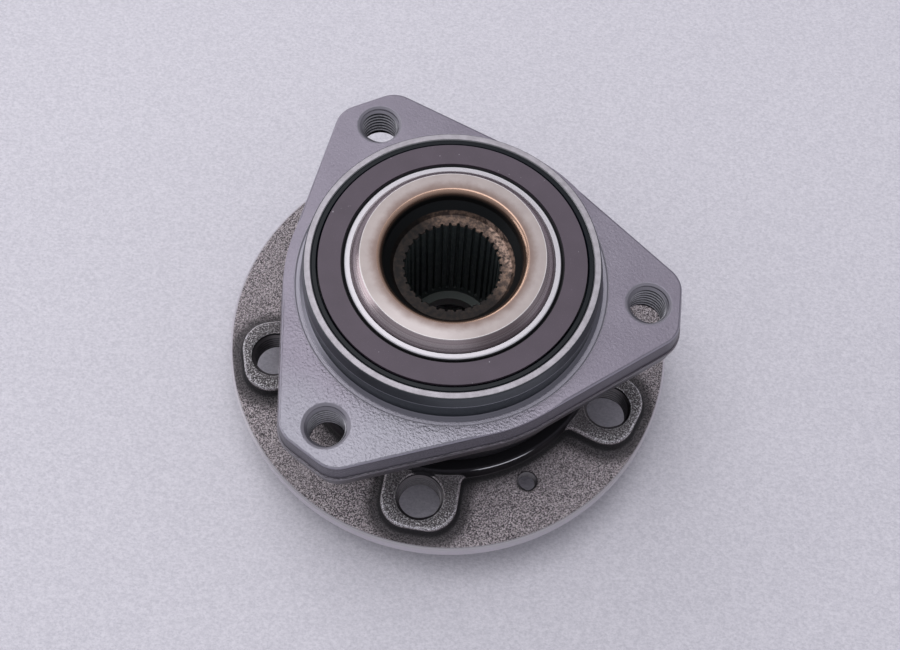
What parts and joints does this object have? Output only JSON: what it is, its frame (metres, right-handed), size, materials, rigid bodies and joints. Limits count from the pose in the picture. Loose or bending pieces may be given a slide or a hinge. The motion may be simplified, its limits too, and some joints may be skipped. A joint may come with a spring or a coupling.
{
  "type": "wheel hub bearing",
  "caption": "Driven wheel hub bearing unit: a splined hub with a round bolt flange turns on two rows of balls in an outer ring with a triangular mounting flange.",
  "frame": {"origin": "centre of the face of the hub flange that the brake disc and the wheel seat on", "axes": "+Z along the bearing axis, inboard towards the vehicle; +X through one knuckle bolt hole of the outer ring; -Z points at the wheel"},
  "size_m": [0.136, 0.136, 0.0735],
  "materials": {
    "coated_forging": "satin grey coating over a shot-blasted forging, ground seat and rim",
    "forged_steel": "dark sand-blasted forging with turned faces and a rolled collar",
    "ground_steel": "ground",
    "bearing_steel": "polished balls",
    "seal_steel": "pressed sheet",
    "seal_rubber": "moulded black rubber",
    "encoder_rubber": "matt brown-grey magnetised rubber",
    "cage_polyamide": "natural glass-filled polyamide"
  },
  "bodies": {
    "outer_ring": {"outer_ring": "coated_forging", "outboard_seal_case": "seal_steel", "outboard_seal_rubber": "seal_rubber", "inboard_seal_case": "seal_steel", "inboard_seal_rubber": "seal_rubber"},
    "hub": {"hub": "forged_steel", "inner_ring": "ground_steel", "slinger": "seal_steel", "magnetic_encoder": "encoder_rubber"},
    "outboard_cage": {"outboard_cage": "cage_polyamide"},
    "outboard_ball_01": {"outboard_ball_01": "bearing_steel"},
    "outboard_ball_02": {"outboard_ball_02": "bearing_steel"},
    "outboard_ball_03": {"outboard_ball_03": "bearing_steel"},
    "outboard_ball_04": {"outboard_ball_04": "bearing_steel"},
    "outboard_ball_05": {"outboard_ball_05": "bearing_steel"},
    "outboard_ball_06": {"outboard_ball_06": "bearing_steel"},
    "outboard_ball_07": {"outboard_ball_07": "bearing_steel"},
    "outboard_ball_08": {"outboard_ball_08": "bearing_steel"},
    "outboard_ball_09": {"outboard_ball_09": "bearing_steel"},
    "outboard_ball_10": {"outboard_ball_10": "bearing_steel"},
    "outboard_ball_11": {"outboard_ball_11": "bearing_steel"},
    "outboard_ball_12": {"outboard_ball_12": "bearing_steel"},
    "outboard_ball_13": {"outboard_ball_13": "bearing_steel"},
    "outboard_ball_14": {"outboard_ball_14": "bearing_steel"},
    "inboard_cage": {"inboard_cage": "cage_polyamide"},
    "inboard_ball_01": {"inboard_ball_01": "bearing_steel"},
    "inboard_ball_02": {"inboard_ball_02": "bearing_steel"},
    "inboard_ball_03": {"inboard_ball_03": "bearing_steel"},
    "inboard_ball_04": {"inboard_ball_04": "bearing_steel"},
    "inboard_ball_05": {"inboard_ball_05": "bearing_steel"},
    "inboard_ball_06": {"inboard_ball_06": "bearing_steel"},
    "inboard_ball_07": {"inboard_ball_07": "bearing_steel"},
    "inboard_ball_08": {"inboard_ball_08": "bearing_steel"},
    "inboard_ball_09": {"inboard_ball_09": "bearing_steel"},
    "inboard_ball_10": {"inboard_ball_10": "bearing_steel"},
    "inboard_ball_11": {"inboard_ball_11": "bearing_steel"},
    "inboard_ball_12": {"inboard_ball_12": "bearing_steel"},
    "inboard_ball_13": {"inboard_ball_13": "bearing_steel"},
    "inboard_ball_14": {"inboard_ball_14": "bearing_steel"}
  },
  "joints": [
    {"name": "hub_spin", "type": "hinge", "parent": "outer_ring", "child": "hub", "pos_m": [0, 0, 0.0375], "axis": [0, 0, 1], "continuous": true},
    {"name": "outboard_cage_orbit", "type": "hinge", "parent": "outer_ring", "child": "outboard_cage", "pos_m": [0, 0, 0.0289], "axis": [0, 0, 1], "continuous": true},
    {"name": "outboard_ball_01_spin", "type": "hinge", "parent": "outboard_cage", "child": "outboard_ball_01", "pos_m": [0.0325, 0, 0.0289], "axis": [-0.6428, 0, 0.766], "continuous": true},
    {"name": "outboard_ball_02_spin", "type": "hinge", "parent": "outboard_cage", "child": "outboard_ball_02", "pos_m": [0.02928, 0.0141, 0.0289], "axis": [-0.5791, -0.2789, 0.766], "continuous": true},
    {"name": "outboard_ball_03_spin", "type": "hinge", "parent": "outboard_cage", "child": "outboard_ball_03", "pos_m": [0.02026, 0.02541, 0.0289], "axis": [-0.4008, -0.5026, 0.766], "continuous": true},
    {"name": "outboard_ball_04_spin", "type": "hinge", "parent": "outboard_cage", "child": "outboard_ball_04", "pos_m": [0.00723, 0.03168, 0.0289], "axis": [-0.143, -0.6267, 0.766], "continuous": true},
    {"name": "outboard_ball_05_spin", "type": "hinge", "parent": "outboard_cage", "child": "outboard_ball_05", "pos_m": [-0.00723, 0.03168, 0.0289], "axis": [0.143, -0.6267, 0.766], "continuous": true},
    {"name": "outboard_ball_06_spin", "type": "hinge", "parent": "outboard_cage", "child": "outboard_ball_06", "pos_m": [-0.02026, 0.02541, 0.0289], "axis": [0.4008, -0.5026, 0.766], "continuous": true},
    {"name": "outboard_ball_07_spin", "type": "hinge", "parent": "outboard_cage", "child": "outboard_ball_07", "pos_m": [-0.02928, 0.0141, 0.0289], "axis": [0.5791, -0.2789, 0.766], "continuous": true},
    {"name": "outboard_ball_08_spin", "type": "hinge", "parent": "outboard_cage", "child": "outboard_ball_08", "pos_m": [-0.0325, 0, 0.0289], "axis": [0.6428, 0, 0.766], "continuous": true},
    {"name": "outboard_ball_09_spin", "type": "hinge", "parent": "outboard_cage", "child": "outboard_ball_09", "pos_m": [-0.02928, -0.0141, 0.0289], "axis": [0.5791, 0.2789, 0.766], "continuous": true},
    {"name": "outboard_ball_10_spin", "type": "hinge", "parent": "outboard_cage", "child": "outboard_ball_10", "pos_m": [-0.02026, -0.02541, 0.0289], "axis": [0.4008, 0.5026, 0.766], "continuous": true},
    {"name": "outboard_ball_11_spin", "type": "hinge", "parent": "outboard_cage", "child": "outboard_ball_11", "pos_m": [-0.00723, -0.03168, 0.0289], "axis": [0.143, 0.6267, 0.766], "continuous": true},
    {"name": "outboard_ball_12_spin", "type": "hinge", "parent": "outboard_cage", "child": "outboard_ball_12", "pos_m": [0.00723, -0.03168, 0.0289], "axis": [-0.143, 0.6267, 0.766], "continuous": true},
    {"name": "outboard_ball_13_spin", "type": "hinge", "parent": "outboard_cage", "child": "outboard_ball_13", "pos_m": [0.02026, -0.02541, 0.0289], "axis": [-0.4008, 0.5026, 0.766], "continuous": true},
    {"name": "outboard_ball_14_spin", "type": "hinge", "parent": "outboard_cage", "child": "outboard_ball_14", "pos_m": [0.02928, -0.0141, 0.0289], "axis": [-0.5791, 0.2789, 0.766], "continuous": true},
    {"name": "inboard_cage_orbit", "type": "hinge", "parent": "outer_ring", "child": "inboard_cage", "pos_m": [0, 0, 0.0461], "axis": [0, 0, 1], "continuous": true},
    {"name": "inboard_ball_01_spin", "type": "hinge", "parent": "inboard_cage", "child": "inboard_ball_01", "pos_m": [0.0325, 0, 0.0461], "axis": [0.6428, 0, 0.766], "continuous": true},
    {"name": "inboard_ball_02_spin", "type": "hinge", "parent": "inboard_cage", "child": "inboard_ball_02", "pos_m": [0.02928, 0.0141, 0.0461], "axis": [0.5791, 0.2789, 0.766], "continuous": true},
    {"name": "inboard_ball_03_spin", "type": "hinge", "parent": "inboard_cage", "child": "inboard_ball_03", "pos_m": [0.02026, 0.02541, 0.0461], "axis": [0.4008, 0.5026, 0.766], "continuous": true},
    {"name": "inboard_ball_04_spin", "type": "hinge", "parent": "inboard_cage", "child": "inboard_ball_04", "pos_m": [0.00723, 0.03168, 0.0461], "axis": [0.143, 0.6267, 0.766], "continuous": true},
    {"name": "inboard_ball_05_spin", "type": "hinge", "parent": "inboard_cage", "child": "inboard_ball_05", "pos_m": [-0.00723, 0.03168, 0.0461], "axis": [-0.143, 0.6267, 0.766], "continuous": true},
    {"name": "inboard_ball_06_spin", "type": "hinge", "parent": "inboard_cage", "child": "inboard_ball_06", "pos_m": [-0.02026, 0.02541, 0.0461], "axis": [-0.4008, 0.5026, 0.766], "continuous": true},
    {"name": "inboard_ball_07_spin", "type": "hinge", "parent": "inboard_cage", "child": "inboard_ball_07", "pos_m": [-0.02928, 0.0141, 0.0461], "axis": [-0.5791, 0.2789, 0.766], "continuous": true},
    {"name": "inboard_ball_08_spin", "type": "hinge", "parent": "inboard_cage", "child": "inboard_ball_08", "pos_m": [-0.0325, 0, 0.0461], "axis": [-0.6428, 0, 0.766], "continuous": true},
    {"name": "inboard_ball_09_spin", "type": "hinge", "parent": "inboard_cage", "child": "inboard_ball_09", "pos_m": [-0.02928, -0.0141, 0.0461], "axis": [-0.5791, -0.2789, 0.766], "continuous": true},
    {"name": "inboard_ball_10_spin", "type": "hinge", "parent": "inboard_cage", "child": "inboard_ball_10", "pos_m": [-0.02026, -0.02541, 0.0461], "axis": [-0.4008, -0.5026, 0.766], "continuous": true},
    {"name": "inboard_ball_11_spin", "type": "hinge", "parent": "inboard_cage", "child": "inboard_ball_11", "pos_m": [-0.00723, -0.03168, 0.0461], "axis": [-0.143, -0.6267, 0.766], "continuous": true},
    {"name": "inboard_ball_12_spin", "type": "hinge", "parent": "inboard_cage", "child": "inboard_ball_12", "pos_m": [0.00723, -0.03168, 0.0461], "axis": [0.143, -0.6267, 0.766], "continuous": true},
    {"name": "inboard_ball_13_spin", "type": "hinge", "parent": "inboard_cage", "child": "inboard_ball_13", "pos_m": [0.02026, -0.02541, 0.0461], "axis": [0.4008, -0.5026, 0.766], "continuous": true},
    {"name": "inboard_ball_14_spin", "type": "hinge", "parent": "inboard_cage", "child": "inboard_ball_14", "pos_m": [0.02928, -0.0141, 0.0461], "axis": [0.5791, -0.2789, 0.766], "continuous": true}
  ],
  "couplings": [
    {"joint": "outboard_cage_orbit", "follows": "hub_spin", "ratio": 0.42516},
    {"joint": "outboard_ball_01_spin", "follows": "hub_spin", "ratio": -2.5017},
    {"joint": "outboard_ball_02_spin", "follows": "hub_spin", "ratio": -2.5017},
    {"joint": "outboard_ball_03_spin", "follows": "hub_spin", "ratio": -2.5017},
    {"joint": "outboard_ball_04_spin", "follows": "hub_spin", "ratio": -2.5017},
    {"joint": "outboard_ball_05_spin", "follows": "hub_spin", "ratio": -2.5017},
    {"joint": "outboard_ball_06_spin", "follows": "hub_spin", "ratio": -2.5017},
    {"joint": "outboard_ball_07_spin", "follows": "hub_spin", "ratio": -2.5017},
    {"joint": "outboard_ball_08_spin", "follows": "hub_spin", "ratio": -2.5017},
    {"joint": "outboard_ball_09_spin", "follows": "hub_spin", "ratio": -2.5017},
    {"joint": "outboard_ball_10_spin", "follows": "hub_spin", "ratio": -2.5017},
    {"joint": "outboard_ball_11_spin", "follows": "hub_spin", "ratio": -2.5017},
    {"joint": "outboard_ball_12_spin", "follows": "hub_spin", "ratio": -2.5017},
    {"joint": "outboard_ball_13_spin", "follows": "hub_spin", "ratio": -2.5017},
    {"joint": "outboard_ball_14_spin", "follows": "hub_spin", "ratio": -2.5017},
    {"joint": "inboard_cage_orbit", "follows": "hub_spin", "ratio": 0.42516},
    {"joint": "inboard_ball_01_spin", "follows": "hub_spin", "ratio": -2.5017},
    {"joint": "inboard_ball_02_spin", "follows": "hub_spin", "ratio": -2.5017},
    {"joint": "inboard_ball_03_spin", "follows": "hub_spin", "ratio": -2.5017},
    {"joint": "inboard_ball_04_spin", "follows": "hub_spin", "ratio": -2.5017},
    {"joint": "inboard_ball_05_spin", "follows": "hub_spin", "ratio": -2.5017},
    {"joint": "inboard_ball_06_spin", "follows": "hub_spin", "ratio": -2.5017},
    {"joint": "inboard_ball_07_spin", "follows": "hub_spin", "ratio": -2.5017},
    {"joint": "inboard_ball_08_spin", "follows": "hub_spin", "ratio": -2.5017},
    {"joint": "inboard_ball_09_spin", "follows": "hub_spin", "ratio": -2.5017},
    {"joint": "inboard_ball_10_spin", "follows": "hub_spin", "ratio": -2.5017},
    {"joint": "inboard_ball_11_spin", "follows": "hub_spin", "ratio": -2.5017},
    {"joint": "inboard_ball_12_spin", "follows": "hub_spin", "ratio": -2.5017},
    {"joint": "inboard_ball_13_spin", "follows": "hub_spin", "ratio": -2.5017},
    {"joint": "inboard_ball_14_spin", "follows": "hub_spin", "ratio": -2.5017}
  ]
}
